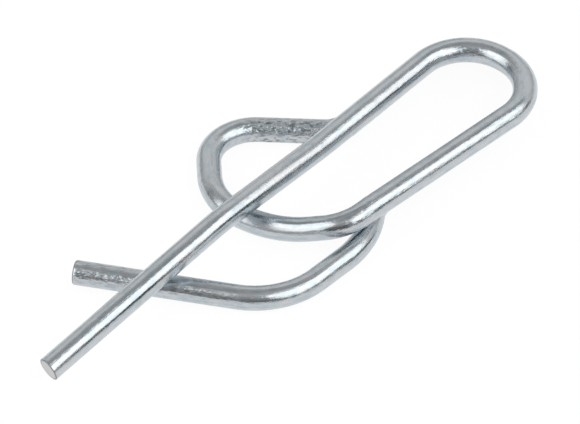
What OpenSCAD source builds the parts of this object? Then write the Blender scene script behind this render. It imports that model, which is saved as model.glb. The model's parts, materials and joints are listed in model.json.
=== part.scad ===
// Spring wire clip with a straight leg, a doubled end bend and a loop that clasps a shaft.
// The leg goes through a cross hole in the shaft, and the loop snaps round the shaft's outside.
// The clip lies on its side. +X runs along the straight leg towards the end bend, the loop is
// on the leg's +Y side, and the origin is under the middle of the clip, on what it lies on.

/* [Wire] */
// Wire diameter
wire_d = 4; // [3.2:0.1:4.8]
// Clear gap where one pass of the wire crosses over another
lap_gap = 0.4; // [0.3:0.05:1]

/* [Straight leg] */
// Length from the tip to the middle of the end bend
leg_l = 91.6; // [76:0.2:112]
// How far the tip sits below the upper level of the wire
tip_drop = 1; // [0.6:0.1:1.4]
// How far the leg's crest rises above the upper level, to clear the loop
crest_rise = 1.3; // [1:0.1:2]
// Distance of the crest from the tip
crest_x = 41.5; // [38:0.5:46]
// Distance from the tip to where the leg comes level
level_x = 66; // [64:0.5:74]
// Radius of the two slight bends that lift the leg
crest_r = 40; // [20:1:50]
// Angle by which the sheared tip is out of square
tip_shear = 15.5; // [0:0.5:20]
// Which way round the leg's axis the shear leans
tip_shear_turn = 227; // [0:1:360]

/* [End bend] */
// Radius of the wire's axis round the end bend
end_bend_r = 9.3; // [7.7:0.1:11.2]
// Angle at which the second leg closes towards the straight leg
pinch = 5.7; // [3:0.1:6]
// How far the lower turn lies beyond the upper one, along the leg
turn_shift_x = 3.8; // [3:0.05:4.5]
// How far the lower turn lies to the loop's side of the upper one
turn_shift_y = 3; // [2.4:0.05:3.6]

/* [Bow] */
// Distance from the tip to where the second leg starts down from the upper level
bow_drop_x = 60; // [59:0.5:61]
// Distance from the tip to the corner where the second leg turns into the bow
bow_start_x = 54.6; // [54:0.2:56]
// How far the bow's first corner is below the upper level
bow_start_drop = 0.3; // [0:0.1:0.8]
// Bend radius at the bow's first corner
bow_start_r = 6.5; // [5:0.5:10]
// Distance from the tip to the bow's inner corner, where it has come down to the lower level
bow_x = 50.1; // [49:0.1:51]
// How far the bow's inner corner is from the leg's axis
bow_y = 4.7; // [4:0.1:6]
// Bend radius at that corner
bow_r = 30; // [24:0.5:32]

/* [Loop] */
// Distance from the tip to the loop's side corner
loop_side_x = 48.1; // [47:0.1:50]
// How far the side corner is from the leg's axis
loop_side_y = 7.5; // [7:0.1:9]
// Bend radius at the side corner
loop_side_r = 14.5; // [10:0.5:15]
// Distance from the tip to the loop's outermost corner
loop_top_x = 61.3; // [59:0.1:63]
// How far the outermost corner is from the leg's axis
loop_top_y = 19.8; // [17:0.1:23.8]
// Bend radius at the outermost corner
loop_top_r = 7.5; // [6:0.1:9]
// Distance from the tip to the corner where the loop turns in under the straight leg
tuck_x = 74.1; // [71:0.1:76]
// Bend radius at that corner
tuck_r = 4.5; // [4:0.1:8]

/* [Tail] */
// Distance from the tip to where the tail kicks out from under the second leg
kick_x = 64.5; // [63:0.1:67]
// Bend radius at the kick
kick_r = 6.3; // [5:0.1:8]
// Distance from the tip to the corner where the tail is widest
belly_x = 57.5; // [56:0.1:59]
// How far that corner stands outside the second leg's axis
belly_out = 1.9; // [1.5:0.1:3.5]
// Bend radius at that corner
belly_r = 17.5; // [10:0.5:18]
// Distance from the tip to the corner where the tail turns in towards the leg
turn_in_x = 37.9; // [35:0.1:40]
// How much nearer the leg's axis that corner is than the widest one
turn_in_rise = 0.9; // [0:0.1:2]
// Bend radius at that corner
turn_in_r = 13.5; // [8:0.5:15]
// Distance between the two ends of the wire, measured along the leg
tail_x = 22.1; // [19:0.1:26]
// How far the tail's end stands past the leg's axis
tail_y = 13.9; // [11:0.1:16.7]

/* [Hidden] */
$fn = 48;

// The wire is a hair thicker round its bends, and each straight stretch ends inside them.
bend_swell = 0.02;
grip = 0.05;
// Least length left straight between two bends
shortest = 0.4;

wire_r = wire_d / 2;
low_z = wire_r + bend_swell / 2;
top_z = low_z + wire_d + lap_gap;
far_x = leg_l + end_bend_r;
turn_y = -end_bend_r * (1 + tan((90 + pinch) / 2));
function second_leg_y(x) = turn_y + (far_x - x) * tan(pinch);
belly_y = second_leg_y(belly_x) - belly_out;

// The corners where the wire's straight stretches would meet, each with its bend radius.
corners = [
    // straight leg, over everything else
    [0, 0, top_z - tip_drop, 0],
    [crest_x, 0, top_z + crest_rise, crest_r],
    [level_x, 0, top_z, crest_r],
    // upper turn of the end bend, and the second leg
    [far_x, 0, top_z, end_bend_r],
    [far_x, turn_y, top_z, end_bend_r],
    [bow_drop_x, second_leg_y(bow_drop_x), top_z, bow_start_r],
    // bow, which comes down and goes under the straight leg
    [bow_start_x, second_leg_y(bow_start_x), top_z - bow_start_drop, bow_start_r],
    [bow_x, -bow_y, low_z, bow_r],
    // loop
    [loop_side_x, loop_side_y, low_z, loop_side_r],
    [loop_top_x, loop_top_y, low_z, loop_top_r],
    [tuck_x, turn_shift_y, low_z, tuck_r],
    // lower turn of the end bend
    [far_x + turn_shift_x, turn_shift_y, low_z, end_bend_r],
    [far_x + turn_shift_x, turn_y + turn_shift_y, low_z, end_bend_r],
    // tail, which goes under the second leg and then under the straight one
    [kick_x, second_leg_y(kick_x - turn_shift_x) + turn_shift_y, low_z, kick_r],
    [belly_x, belly_y, low_z, belly_r],
    [turn_in_x, belly_y + turn_in_rise, low_z, turn_in_r],
    [tail_x, tail_y, low_z, 0]
];
last = len(corners) - 1;
// Which of them is the loop's outermost one
loop_top = 9;

// Corner i as a point, the run from it to the next corner, and that run's direction
function point(i) = [corners[i][0], corners[i][1], corners[i][2]];
function run(i) = norm(point(i + 1) - point(i));
function heading(i) = (point(i + 1) - point(i)) / run(i);

// The angle turned at corner i, and how far from the corner its bend would start
function turned(i) = i == 0 || i == last ? 0 : acos(heading(i - 1) * heading(i));
function reach(i) = corners[i][3] * tan(turned(i) / 2);

// A bend is tightened where the runs beside it are too short for its full radius.
function share(i) = min(1, (run(i) - shortest) / (reach(i) + reach(i + 1)));
function fitted(i) = i == 0 || i == last ? 0 : min(share(i - 1), share(i));
function bend_r(i) = corners[i][3] * fitted(i);
function bend_start(i) = reach(i) * fitted(i);
function bend_middle(i) = point(i) + (heading(i) - heading(i - 1)) * bend_r(i) / sin(turned(i));

// The middle of the clip, seen from above
low_x = -wire_r * tan(tip_shear);
high_x = far_x + turn_shift_x + wire_r;
low_y = min(-2 * end_bend_r, belly_y) - wire_r;
high_y = bend_middle(loop_top)[1] + bend_r(loop_top) + wire_r;
middle = [(low_x + high_x) / 2, (low_y + high_y) / 2, 0];

// Turns the local X, Y and Z axes to three given directions
module faced(x, y, z) {
    multmatrix([
        [x[0], y[0], z[0], 0],
        [x[1], y[1], z[1], 0],
        [x[2], y[2], z[2], 0],
        [0, 0, 0, 1]
    ])
        children();
}

// Puts local Z along run i, with local X level and local Y upwards
module along(i) {
    side = cross([0, 0, 1], heading(i));
    level = side / norm(side);
    translate(point(i))
        faced(level, cross(heading(i), level), heading(i))
            children();
}

module straight(i) {
    from = i == 0 ? -wire_r : bend_start(i) - grip;
    to = i == last - 1 ? run(i) : run(i) - bend_start(i + 1) + grip;
    along(i)
        translate([0, 0, from])
            cylinder(h = to - from, d = wire_d);
}

module bend(i) {
    inward = heading(i) - heading(i - 1) * cos(turned(i));
    outward = -inward / norm(inward);
    translate(point(i))
        faced(outward, heading(i - 1), cross(outward, heading(i - 1)))
            translate([-bend_r(i), -bend_start(i), 0])
                rotate_extrude(angle = turned(i))
                    translate([bend_r(i), 0])
                        circle(d = wire_d + bend_swell);
}

// The straight leg's first stretch, with its end face sheared out of square
module tip() {
    difference() {
        straight(0);
        along(0)
            rotate([0, 0, tip_shear_turn])
                rotate([tip_shear, 0, 0])
                    translate([-wire_d, -wire_d, -2 * wire_d])
                        cube(2 * wire_d);
    }
}

module clip_wire() {
    color("#B4BBC0")
        translate(-middle) {
            tip();
            for (i = [1 : last - 1]) {
                straight(i);
                bend(i);
            }
        }
}

clip_wire();
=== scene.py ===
import json
import math

import bpy
from mathutils import Matrix, Vector


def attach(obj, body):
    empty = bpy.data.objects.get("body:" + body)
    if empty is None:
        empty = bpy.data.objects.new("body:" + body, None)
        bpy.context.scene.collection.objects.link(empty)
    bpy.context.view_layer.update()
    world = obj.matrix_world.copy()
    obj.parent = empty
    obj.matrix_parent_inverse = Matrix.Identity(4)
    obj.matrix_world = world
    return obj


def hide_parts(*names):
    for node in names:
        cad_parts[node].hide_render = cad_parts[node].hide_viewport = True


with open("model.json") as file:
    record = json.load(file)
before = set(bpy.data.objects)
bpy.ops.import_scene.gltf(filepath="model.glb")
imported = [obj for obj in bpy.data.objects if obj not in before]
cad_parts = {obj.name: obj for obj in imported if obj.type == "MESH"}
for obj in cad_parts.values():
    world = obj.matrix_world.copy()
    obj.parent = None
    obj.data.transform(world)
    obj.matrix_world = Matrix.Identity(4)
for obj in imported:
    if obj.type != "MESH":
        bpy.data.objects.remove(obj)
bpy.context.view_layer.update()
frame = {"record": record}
bpy.ops.object.select_all(action="DESELECT")
print("frame loaded")

mm = 0.001
scene = bpy.context.scene
mounts = {mount["name"]: mount for mount in frame["record"]["mounts"]}
leg = mounts["straight_leg"]
wireRadius = leg["dims"]["r_mm"]


def linear(hexColour):
    # sRGB hex to the linear colour that nodes take
    parts = [int(hexColour[i:i + 2], 16) / 255 for i in (1, 3, 5)]
    return [c / 12.92 if c <= 0.04045 else ((c + 0.055) / 1.055) ** 2.4 for c in parts] + [1]


def grey(level):
    return (level, level, level, 1)


def addNode(tree, kind, settings=None, stops=()):
    # one node with its settings and links: an input, by name or number, takes a value, an output,
    # or a node, which stands for its first output; a colour ramp has stops of place and colour
    node = tree.nodes.new(kind)
    for name, value in (settings or {}).items():
        if isinstance(value, bpy.types.Node):
            value = value.outputs[0]
        if not isinstance(name, int) and name not in node.inputs:
            setattr(node, name, value)
        elif isinstance(value, bpy.types.NodeSocket):
            tree.links.new(value, node.inputs[name])
        else:
            node.inputs[name].default_value = value
    if stops:
        ramp = node.color_ramp.elements
        ramp[0].position = stops[0][0]
        ramp[1].position = stops[-1][0]
        for spot, _ in stops[1:-1]:
            ramp.new(spot)
        for stop, (_, colour) in zip(ramp, stops):
            stop.color = colour
    return node


def emptyTree(owner):
    # the node tree of a new material or world, with nothing in it
    owner.use_nodes = True
    owner.node_tree.nodes.clear()
    return owner.node_tree


# The wire as it was bent: straight runs between corners, each corner with a bend radius.
wire = {                        # mm and degrees, measured from the tip of the straight leg
    "sides": 64,                # facets round the wire
    "step": 0.4,                # length between rings
    "lapGap": 0.4,              # gap where one pass crosses over another
    "shortest": 0.4,            # least straight run between two bends
    "smoothUnder": 40,          # edges that turn less than this are shaded smooth
    "legLength": 91.6,
    "tipDrop": 1.0,             # how far the tip is below the upper level
    "crestRise": 1.3,           # how far the leg's crest is above it, to clear the loop
    "crestX": 41.5,
    "levelX": 66,               # where the leg has come level again
    "crestRadius": 40,
    "endRadius": 9.3,
    "pinch": 5.7,               # angle at which the second leg closes towards the straight one
    "turnShift": (3.8, 3.0),    # how far the end bend's lower turn is from the upper one
    "bowDropX": 60,             # where the second leg starts down from the upper level
    "bowStart": (54.6, 0.3, 6.5),   # x, how far below the upper level, bend radius
    "bow": (50.1, -4.7, 30),        # x, y, bend radius
    "loopSide": (48.1, 7.5, 14.5),
    "loopTop": (61.3, 19.8, 7.5),
    "tuck": (74.1, 4.5),            # x, bend radius
    "kick": (64.5, 6.3),
    "belly": (57.5, 1.9, 17.5),     # x, how far outside the second leg, bend radius
    "turnIn": (37.9, 0.9, 13.5),    # x, how much nearer the leg than the belly, bend radius
    "tailEnd": (22.1, 13.9),        # x, y
}

ends = {                        # mm and degrees
    "shear": 15.5,              # how far the tip's cut is out of square
    "shearTurn": 227,           # which way round the wire it leans
    "plainRun": 3.0,            # length at each end that has no rings until the cut is made
    "cuts": 6,                  # rings that it gets afterwards
    "nearCut": 4.5,             # its edges are this near the cut
    "longEdge": 1.2,            # and longer than this along the wire, which no others there are
    "capMiddle": 0.4,           # the cut face's middle is this near the middle of the cut
    "capFacing": 0.9,           # least cosine between its normal and the cut's
    "tipRounding": 0.14,
    "tailRounding": 0.38,
    "roundingSteps": 4,
    "rings": (0.06, 0.6, 0.6),  # insets across a cut face
    "slack": 0.1,               # how far past its size a place still counts as on the wire's end
}

dents = {                       # mm, degrees round the wire
    "depth": 0.045,
    "stretch": 1.6,             # a dent's length over its width
    "ripple": 0.007,            # height of the plating's gentle waves
    "rippleSize": 2.2,
    # place along the wire and round it, and half the dent's width
    "places": [(154.6, 150, 0.8), (156.4, 120, 0.6), (158.2, 165, 0.9), (191.5, 60, 0.6),
               (193.0, 160, 0.8), (197.0, 120, 0.5), (103.0, 140, 0.8), (104.6, 110, 0.5),
               (206.0, 110, 0.6), (350.5, 100, 0.6), (353.0, 60, 0.7), (355.5, 120, 0.5),
               (356.8, 80, 0.5), (9.0, 60, 0.6), (135.0, 120, 0.5), (322.0, 150, 0.6)],
}


def wireCorners(w, topZ):
    lowZ = topZ - 2 * wireRadius - w["lapGap"]
    farX = w["legLength"] + w["endRadius"]
    slope = math.tan(math.radians(w["pinch"]))
    turnY = -w["endRadius"] * (1 + math.tan(math.radians(45 + w["pinch"] / 2)))
    shiftX, shiftY = w["turnShift"]
    startX, startDrop, startRadius = w["bowStart"]
    kickX, kickRadius = w["kick"]
    bellyX, bellyOut, bellyRadius = w["belly"]

    def secondLeg(x):
        return turnY + (farX - x) * slope

    bellyY = secondLeg(bellyX) - bellyOut
    return [
        # straight leg, over everything else
        (0, 0, topZ - w["tipDrop"], 0),
        (w["crestX"], 0, topZ + w["crestRise"], w["crestRadius"]),
        (w["levelX"], 0, topZ, w["crestRadius"]),
        # upper turn of the end bend, and the second leg
        (farX, 0, topZ, w["endRadius"]),
        (farX, turnY, topZ, w["endRadius"]),
        (w["bowDropX"], secondLeg(w["bowDropX"]), topZ, startRadius),
        # bow
        (startX, secondLeg(startX), topZ - startDrop, startRadius),
        (*w["bow"][:2], lowZ, w["bow"][2]),
        # loop
        (*w["loopSide"][:2], lowZ, w["loopSide"][2]),
        (*w["loopTop"][:2], lowZ, w["loopTop"][2]),
        (w["tuck"][0], shiftY, lowZ, w["tuck"][1]),
        # lower turn of the end bend
        (farX + shiftX, shiftY, lowZ, w["endRadius"]),
        (farX + shiftX, turnY + shiftY, lowZ, w["endRadius"]),
        # tail
        (kickX, secondLeg(kickX - shiftX) + shiftY, lowZ, kickRadius),
        (bellyX, bellyY, lowZ, bellyRadius),
        (w["turnIn"][0], bellyY + w["turnIn"][1], lowZ, w["turnIn"][2]),
        (*w["tailEnd"], lowZ, 0),
    ]


def fittedRadii(points, radii, shortest):
    # a bend is tightened where the runs beside it are too short for its full radius
    runs = [(b - a).length for a, b in zip(points, points[1:])]
    reach = [0.0] * len(points)
    for i in range(1, len(points) - 1):
        turned = (points[i] - points[i - 1]).angle(points[i + 1] - points[i])
        reach[i] = radii[i] * math.tan(turned / 2)
    share = [min(1, (run - shortest) / (a + b)) for run, a, b in zip(runs, reach, reach[1:])]
    fitted = [1.0] + [min(a, b) for a, b in zip(share, share[1:])] + [1.0]
    return [r * f for r, f in zip(radii, fitted)]


def levelAim(ahead):
    # local Z along the wire, local X level and local Y upwards
    side = Vector((0, 0, 1)).cross(ahead).normalized()
    return Matrix((side, ahead.cross(side), ahead)).transposed()


def extrudeRun(rings, aim, spot, length, step):
    # carries the open ring straight on, in equal steps
    count = max(1, round(length / step))
    move = aim.col[2].to_3d() * length / count
    for _ in range(count):
        bpy.ops.mesh.extrude_region_move(TRANSFORM_OT_translate={"value": move})
        spot = spot + move
        rings.append((rings[-1][0] + length / count, spot.copy(), aim.copy()))
    return spot


def spinBend(rings, aim, spot, nextAhead, radius, step):
    # swings the open ring round a bend
    ahead = aim.col[2].to_3d()
    turned = ahead.angle(nextAhead)
    axis = ahead.cross(nextAhead).normalized()
    centre = spot + axis.cross(ahead) * radius
    count = max(2, math.ceil(radius * turned / step))
    bpy.ops.mesh.spin(steps=count, angle=-turned, center=centre, axis=axis)
    part = Matrix.Rotation(turned / count, 3, axis)
    for _ in range(count):
        spot = centre + part @ (spot - centre)
        aim = part @ aim
        rings.append((rings[-1][0] + radius * turned / count, spot.copy(), aim.copy()))
    return aim, spot


def bendWire(w, plain):
    # bends the wire from one ring, and notes each ring's length so far, middle and direction
    tip = Vector(leg["pos_m"])
    corners = wireCorners(w, tip.z / mm + w["tipDrop"])
    points = [Vector((tip.x + x * mm, tip.y + y * mm, z * mm)) for x, y, z, _ in corners]
    radii = fittedRadii(points, [corner[3] * mm for corner in corners], w["shortest"] * mm)
    heads = [(b - a).normalized() for a, b in zip(points, points[1:])]

    # the first ring stands a little before the tip, which is cut to its slant later
    radius = wireRadius * mm
    start = points[0] - heads[0] * radius
    aim = levelAim(heads[0])
    bpy.ops.mesh.primitive_circle_add(
        vertices=w["sides"], radius=radius, location=start, rotation=aim.to_euler())
    piece = bpy.context.object
    piece.name = "bent_wire"
    bpy.ops.object.transform_apply(location=True, rotation=True, scale=True)
    bpy.ops.object.mode_set(mode="EDIT")
    bpy.ops.mesh.select_all(action="SELECT")

    rings = [(-radius, start.copy(), aim.copy())]
    step = w["step"] * mm
    spot = extrudeRun(rings, aim, start, radius + plain, radius + plain)
    for i in range(1, len(points) - 1):
        turned = heads[i - 1].angle(heads[i])
        bendStart = points[i] - heads[i - 1] * radii[i] * math.tan(turned / 2)
        spot = extrudeRun(rings, aim, spot, (bendStart - spot).length, step)
        aim, spot = spinBend(rings, aim, spot, heads[i], radii[i], step)
    spot = extrudeRun(rings, aim, spot, (points[-1] - spot).length - plain, step)
    extrudeRun(rings, aim, spot, plain, plain)
    bpy.ops.mesh.edge_face_add()
    bpy.ops.object.mode_set(mode="OBJECT")
    print("wire bent:", len(rings), "rings")
    return piece, rings, points, heads


def placeOnWire(point, length, spot, aim):
    off = aim.transposed() @ (point - spot)
    return ((length + off.z) / mm, off.x / mm, off.y / mm)


def tagWire(piece, rings, sides):
    # each point's place on the wire as it was before bending: mm along it, and across it both ways
    tag = piece.data.attributes.new("straightened", "FLOAT_VECTOR", "POINT")
    for i, vertex in enumerate(piece.data.vertices):
        tag.data[i].vector = placeOnWire(vertex.co, *rings[i // sides])


def tagEnds(piece, rings, e):
    # the points made while the cuts were finished get their place too: the wire is straight there
    tags = piece.data.attributes["straightened"].data
    for length, spot, aim in (rings[0], rings[-1]):
        for i, vertex in enumerate(piece.data.vertices):
            off = aim.transposed() @ (vertex.co - spot)
            onRun = abs(off.z) < (e["plainRun"] + e["slack"]) * mm
            if onRun and math.hypot(off.x, off.y) < (wireRadius + e["slack"]) * mm:
                tags[i].vector = placeOnWire(vertex.co, length, spot, aim)


def selectOnly(piece, parts, wanted):
    # leaves only those of the mesh's polygons or edges selected that pass the test
    bpy.ops.object.mode_set(mode="OBJECT")
    for name in ("vertices", "edges", "polygons"):
        every = getattr(piece.data, name)
        every.foreach_set("select", [name == parts and wanted(part) for part in every])
    bpy.ops.object.mode_set(mode="EDIT")
    bpy.ops.mesh.select_mode(type={"edges": "EDGE", "polygons": "FACE"}[parts])


def finishEnd(piece, middle, outward, rounding, e):
    # rounds the rim of a cut, and gives its face and the plain run behind it rings of their own
    def isCap(face):
        near = (face.center - middle).length < e["capMiddle"] * mm
        return near and face.normal.dot(outward) > e["capFacing"]

    def isPlain(edge):
        one, other = [piece.data.vertices[v].co for v in edge.vertices]
        near = ((one + other) / 2 - middle).length < e["nearCut"] * mm
        return near and abs((one - other).dot(outward)) > e["longEdge"] * mm

    selectOnly(piece, "polygons", isCap)
    bpy.ops.mesh.region_to_loop()
    bpy.ops.mesh.bevel(
        offset=rounding * mm, segments=e["roundingSteps"], profile=0.5, affect="EDGES")
    selectOnly(piece, "polygons", isCap)
    for width in e["rings"]:
        bpy.ops.mesh.inset(thickness=width * mm)
    selectOnly(piece, "edges", isPlain)
    bpy.ops.mesh.subdivide(number_cuts=e["cuts"])


def cutEnds(piece, points, heads, e):
    # cuts the tip off on a slant, finishes both ends, and gives each cut's middle, direction and
    # rounding
    lean = Matrix.Rotation(math.radians(e["shearTurn"]), 3, "Z")
    lean = lean @ Matrix.Rotation(math.radians(e["shear"]), 3, "X")
    tipOut = levelAim(heads[0]) @ lean @ Vector((0, 0, -1))
    bpy.ops.object.mode_set(mode="EDIT")
    bpy.ops.mesh.select_all(action="SELECT")
    bpy.ops.mesh.bisect(plane_co=points[0], plane_no=tipOut, use_fill=True, clear_outer=True)
    bpy.ops.mesh.select_all(action="SELECT")
    bpy.ops.mesh.normals_make_consistent(inside=False)
    cuts = [(points[0], tipOut, e["tipRounding"]), (points[-1], heads[-1], e["tailRounding"])]
    for middle, outward, rounding in cuts:
        finishEnd(piece, middle, outward, rounding, e)
    bpy.ops.object.mode_set(mode="OBJECT")
    return cuts


def dentWire(piece, d):
    # dents from the bending tool and from tumbling, and the gentle waves of the plated skin
    group = piece.vertex_groups.new(name="dents")
    tags = piece.data.attributes["straightened"].data
    for i in range(len(piece.data.vertices)):
        along, across, upwards = tags[i].vector
        weight = 0
        for middle, turn, width in d["places"]:
            if abs(along - middle) < d["stretch"] * width:
                angle = math.atan2(upwards, across) - math.radians(turn)
                gap = math.remainder(angle, 2 * math.pi) * wireRadius
                far = math.hypot((along - middle) / d["stretch"], gap) / width
                weight = max(weight, max(0, 1 - far * far) ** 2)
        if weight > 0:
            group.add([i], weight, "REPLACE")
    pushed = piece.modifiers.new("dents", "DISPLACE")
    pushed.vertex_group = group.name
    pushed.strength = -d["depth"] * mm
    pushed.mid_level = 0
    waves = bpy.data.textures.new("plating waves", "CLOUDS")
    waves.noise_scale = d["rippleSize"] * mm
    waves.noise_depth = 1
    rippled = piece.modifiers.new("waves", "DISPLACE")
    rippled.texture = waves
    rippled.strength = d["ripple"] * mm
    rippled.mid_level = 0.5
    for modifier in list(piece.modifiers):
        bpy.ops.object.modifier_apply(modifier=modifier.name)
    piece.vertex_groups.clear()


clip, rings, points, heads = bendWire(wire, ends["plainRun"] * mm)
tagWire(clip, rings, wire["sides"])
cuts = cutEnds(clip, points, heads, ends)
tagEnds(clip, rings, ends)
dentWire(clip, dents)
bpy.ops.object.shade_smooth_by_angle(angle=math.radians(wire["smoothUnder"]))
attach(clip, "root")
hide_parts("clip_wire")
print("wire finished:", len(clip.data.polygons), "faces")


noiseBlob = 0.5                 # width of a blob of noise at scale 1

zinc = {
    "colour": "#C1C8CE",
    "rose": "#C9CBCD",          # the two tints the plate shows where it is thicker and thinner
    "teal": "#B2BDC2",
    "tints": ((0.4, "teal"), (0.5, "colour"), (0.6, "rose")),   # at which value of the noise
    "lineShare": 0.5,           # how far the tints follow the drawing lines and not the mottle
    # width of a mark in mm, its width over its length along the wire, and the noise's detail
    "patterns": {
        "lines": (0.25, 0.25 / 8, 2),   # left by the drawing die, and coarser than real, to show
        "grain": (0.25, 0.6, 2),        # crystals of the plating, coarser than real, to show
        "mottle": (0.4, 0.5, 3),
        "pocks": (0.26, 0.55, 1),
    },
    "lineDepth": 0.035,         # mm
    "grainDepth": 0.02,
    # what the drawing lines do to the roughness
    "polish": {"From Min": 0.35, "From Max": 0.65, "To Min": 0.2, "To Max": 0.3},
}

pocked = {                      # mm
    "depth": 0.3,
    "duller": 0.1,              # what it adds to the roughness
    "pitShadeColour": "#4A4E52",          # painted shade that darkens the pock marks' low spots
    # how much painted shade the marks get, from the pattern's middle value down to its low ones
    "pitShadeShare": {"From Min": 0.5, "From Max": 0.36, "To Max": 0.6},
    # place along the wire, and how much it is pocked there
    "places": [(0, 0.05), (92, 0.06), (99, 0.25), (106, 0.1), (152, 0.06), (157, 0.3),
               (162, 0.06), (180, 0.06), (186, 0.2), (192, 0.05), (199, 0.1), (203.5, 1),
               (222, 1), (228, 0.1), (325, 0.06), (338, 0.35), (358, 0.45), (360, 0.45)],
    # the jaws press on the wire's slanting sides: there this times the place across the wire,
    # without its minus signs, is about 1
    "jaws": (0, 0.36, 0.345),
    "underJaws": {"From Min": 0.66, "From Max": 0.93, "To Min": 0.15},
}

cutFace = {                     # mm
    "colour": "#CBCCCB",
    "rim": "#8E9395",           # painted shade darkening the rim round the face
    "rimFrom": {"From Min": 1.55, "From Max": 1.95},    # from the wire's axis
    "roundingShare": 0.8,       # how much of the rounding is as dull as the face
    "roughness": 0.5,
    "tears": (0.16, 0.3, 3),    # the shear's marks: width, width over height, noise's detail
    "tearDepth": 0.03,
}


def wirePlace(tree, scale=(1, 1, 1)):
    # place on the straightened wire in mm: along, across, upwards
    place = addNode(tree, "ShaderNodeAttribute", {"attribute_name": "straightened"})
    return addNode(tree, "ShaderNodeVectorMath",
                   {"operation": "MULTIPLY", 0: place.outputs["Vector"], 1: scale})


def gripMarks(tree, p):
    # how much the plate is pocked: by the place along the wire, and most under the bender's jaws
    place = wirePlace(tree)
    along = addNode(tree, "ShaderNodeSeparateXYZ", {"Vector": place}).outputs["X"]
    length = p["places"][-1][0]
    share = addNode(tree, "ShaderNodeMapRange", {"Value": along, "From Max": length})
    gripped = addNode(tree, "ShaderNodeValToRGB", {"Fac": share},
                      [(spot / length, grey(amount)) for spot, amount in p["places"]])
    side = addNode(tree, "ShaderNodeVectorMath", {"operation": "ABSOLUTE", 0: place})
    pressed = addNode(tree, "ShaderNodeVectorMath",
                      {"operation": "DOT_PRODUCT", 0: side, 1: p["jaws"]}).outputs["Value"]
    under = addNode(tree, "ShaderNodeMapRange", {"Value": pressed, **p["underJaws"]})
    return addNode(tree, "ShaderNodeMath", {"operation": "MULTIPLY", 0: gripped, 1: under})


def zincPlate(z, p):
    # bright zinc plate on drawn spring wire: a bluish metal with a soft sheen, that shows
    # the die's fine lines along it, a fine grain, and pock marks where the bender gripped it,
    # darkened with painted shade
    material = bpy.data.materials.new("zinc plated spring wire")
    tree = emptyTree(material)
    patterns = {}
    for name, (width, shrink, detail) in z["patterns"].items():
        place = wirePlace(tree, (shrink, 1, 1))
        patterns[name] = addNode(tree, "ShaderNodeTexNoise",
                                 {"Vector": place, "Scale": noiseBlob / width, "Detail": detail})
    lines = patterns["lines"]
    grip = gripMarks(tree, p)

    normal = addNode(tree, "ShaderNodeBump", {"Height": lines, "Distance": z["lineDepth"] * mm})
    normal = addNode(tree, "ShaderNodeBump",
                     {"Height": patterns["grain"], "Distance": z["grainDepth"] * mm,
                      "Normal": normal})
    normal = addNode(tree, "ShaderNodeBump",
                     {"Height": patterns["pocks"], "Distance": p["depth"] * mm,
                      "Strength": grip, "Normal": normal})
    polish = addNode(tree, "ShaderNodeMapRange", {"Value": lines, **z["polish"]})
    roughness = addNode(tree, "ShaderNodeMath",
                        {"operation": "MULTIPLY_ADD", 0: grip, 1: p["duller"], 2: polish})

    uneven = addNode(tree, "ShaderNodeMix",
                     {"Factor": z["lineShare"], 2: patterns["mottle"], 3: lines})
    tint = addNode(tree, "ShaderNodeValToRGB", {"Fac": uneven},
                   [(spot, linear(z[name])) for spot, name in z["tints"]])
    # painted shade: the pock pattern's low spots, where the bender gripped, are mixed towards a
    # dark grey
    dark = addNode(tree, "ShaderNodeMapRange", {"Value": patterns["pocks"], **p["pitShadeShare"]})
    pitShadeShare = addNode(tree, "ShaderNodeMath", {"operation": "MULTIPLY", 0: dark, 1: grip})
    tone = addNode(tree, "ShaderNodeMix",
                   {"data_type": "RGBA", "Factor": pitShadeShare, 6: tint, 7: linear(p["pitShadeColour"])})
    shader = addNode(tree, "ShaderNodeBsdfPrincipled",
                     {"Base Color": tone.outputs[2], "Metallic": 1.0, "Roughness": roughness,
                      "Normal": normal})
    addNode(tree, "ShaderNodeOutputMaterial", {"Surface": shader})
    return material


def shearedSteel(c):
    # the matte, slightly torn face that the cutter leaves, with painted shade darkening its rim
    material = bpy.data.materials.new("sheared wire end")
    tree = emptyTree(material)
    width, shrink, detail = c["tears"]
    place = wirePlace(tree, (1, 1, shrink))
    tears = addNode(tree, "ShaderNodeTexNoise",
                    {"Vector": place, "Scale": noiseBlob / width, "Detail": detail})
    normal = addNode(tree, "ShaderNodeBump", {"Height": tears, "Distance": c["tearDepth"] * mm})
    out = addNode(tree, "ShaderNodeVectorMath",
                  {"operation": "LENGTH", 0: wirePlace(tree, (0, 1, 1))}).outputs["Value"]
    # painted shade: the face turns darker towards its rim, going out from the wire's axis
    rimShade = addNode(tree, "ShaderNodeMapRange", {"Value": out, **c["rimFrom"]})
    tone = addNode(tree, "ShaderNodeMix",
                   {"data_type": "RGBA", "Factor": rimShade, 6: linear(c["colour"]),
                    7: linear(c["rim"])})
    shader = addNode(tree, "ShaderNodeBsdfPrincipled",
                     {"Base Color": tone.outputs[2], "Metallic": 1.0,
                      "Roughness": c["roughness"], "Normal": normal})
    addNode(tree, "ShaderNodeOutputMaterial", {"Surface": shader})
    return material


def dullCuts(piece, cuts, roundingShare, slack):
    # gives the cut faces and most of their rounding the second material
    for face in piece.data.polygons:
        for middle, outward, rounding in cuts:
            off = face.center - middle
            onCut = abs(off.dot(outward)) < roundingShare * rounding * mm
            if onCut and off.length < (wireRadius + slack) * mm:
                face.material_index = 1


clip.data.materials.append(zincPlate(zinc, pocked))
clip.data.materials.append(shearedSteel(cutFace))
dullCuts(clip, cuts, cutFace["roundingShare"], ends["slack"])
print("finish made")


table = {
    "colour": "#FBFCFC",
    "size": 8.0,                # m
    "roughness": 0.9,
    "specular": 0.1,
    "glow": 0.9,                # share of the table's white that is glow, as the camera sees it
    "glossyGlow": 0.85,         # and as the metal sees it
    "glowLevel": 1.03,
}

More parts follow.
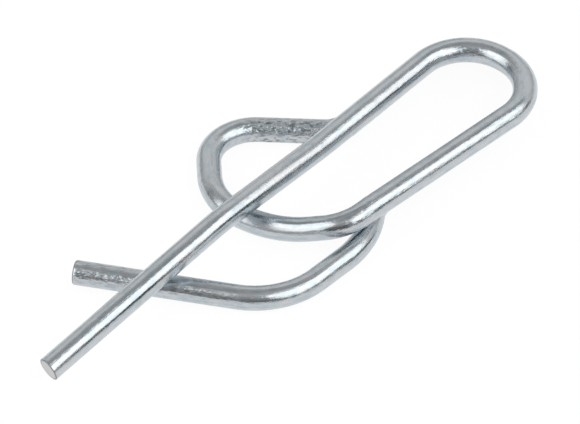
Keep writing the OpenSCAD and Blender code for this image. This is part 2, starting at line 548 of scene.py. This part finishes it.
lamps = {
    "distance": 0.9,            # m
    "colour": (1.0, 0.99, 0.975),
    # degrees from the camera to its right, seen from above, and degrees up, then width and
    # height in m, and how bright the face is
    "boxes": {
        "left_softbox": (-68, 33, 0.82, 0.92, 1.58),
        "right_softbox": (65, 42.5, 1.23, 0.76, 1.65),
        "back_card": (176, 24, 4.3, 0.96, 0.51),
    },
}

# The room's brightness at each height of the direction: dim low down, so that the wire keeps the
# dark line that a room's horizon gives it.
room = ((0, 0.02), (0.2, 0.057), (0.5, 0.29), (1, 0.44))

view = {
    "distance": 1.7,            # m
    "azimuth": -49.857,         # degrees
    "elevation": 43.0,
    "aim": (0.932, -2.659, 2.951),      # mm
    "lens": 663.32,
    "sensor": 36,
}


def addSheet(t):
    bpy.ops.mesh.primitive_plane_add(size=t["size"])
    sheet = bpy.context.object
    sheet.name = "white_table"
    material = bpy.data.materials.new("white table lit from below")
    tree = emptyTree(material)
    card = addNode(tree, "ShaderNodeBsdfPrincipled",
                   {"Base Color": linear(t["colour"]), "Roughness": t["roughness"],
                    "Specular IOR Level": t["specular"]})
    glow = addNode(tree, "ShaderNodeEmission", {"Strength": t["glowLevel"]})
    # the camera and the metal see part of its white as glow, and its shadow stays
    seen = addNode(tree, "ShaderNodeLightPath").outputs
    share = addNode(tree, "ShaderNodeMath",
                    {"operation": "MULTIPLY", 0: seen["Is Camera Ray"], 1: t["glow"]})
    share = addNode(tree, "ShaderNodeMath",
                    {"operation": "MULTIPLY_ADD", 0: seen["Is Glossy Ray"], 1: t["glossyGlow"],
                     2: share})
    mix = addNode(tree, "ShaderNodeMixShader", {"Fac": share, 1: card, 2: glow})
    addNode(tree, "ShaderNodeOutputMaterial", {"Surface": mix})
    sheet.data.materials.append(material)


def outFrom(azimuth, elevation):
    # direction from the middle: azimuth 0 is towards -Y, and grows anticlockwise seen from above
    turn, lift = math.radians(azimuth), math.radians(elevation)
    return Vector((math.sin(turn) * math.cos(lift), -math.cos(turn) * math.cos(lift),
                   math.sin(lift)))


def softbox(name, turn, rise, width, height, level):
    towards = outFrom(view["azimuth"] + turn, rise)
    bpy.ops.object.light_add(type="AREA", location=towards * lamps["distance"],
                             rotation=towards.to_track_quat("Z", "Y").to_euler())
    lamp = bpy.context.object
    lamp.name = name
    lamp.data.shape = "RECTANGLE"
    lamp.data.size = width
    lamp.data.size_y = height
    lamp.data.energy = level * math.pi * width * height
    lamp.data.color = lamps["colour"]


def addWorld(levels):
    world = bpy.data.worlds.new("studio")
    scene.world = world
    tree = emptyTree(world)
    place = addNode(tree, "ShaderNodeTexCoord").outputs["Generated"]
    height = addNode(tree, "ShaderNodeSeparateXYZ", {"Vector": place}).outputs["Z"]
    ramp = addNode(tree, "ShaderNodeValToRGB", {"Fac": height},
                   [(spot, grey(level)) for spot, level in levels])
    light = addNode(tree, "ShaderNodeBackground", {"Color": ramp})
    addNode(tree, "ShaderNodeOutputWorld", {"Surface": light})


def addCamera(v):
    back = outFrom(v["azimuth"], v["elevation"])
    bpy.ops.object.camera_add(location=Vector(v["aim"]) * mm + back * v["distance"],
                              rotation=back.to_track_quat("Z", "Y").to_euler())
    camera = bpy.context.object
    camera.data.lens = v["lens"]
    camera.data.sensor_width = v["sensor"]
    camera.data.clip_end = 50
    scene.camera = camera


addSheet(table)
for name, box in lamps["boxes"].items():
    softbox(name, *box)
addWorld(room)
addCamera(view)
scene.view_settings.view_transform = "Standard"
print("studio set")
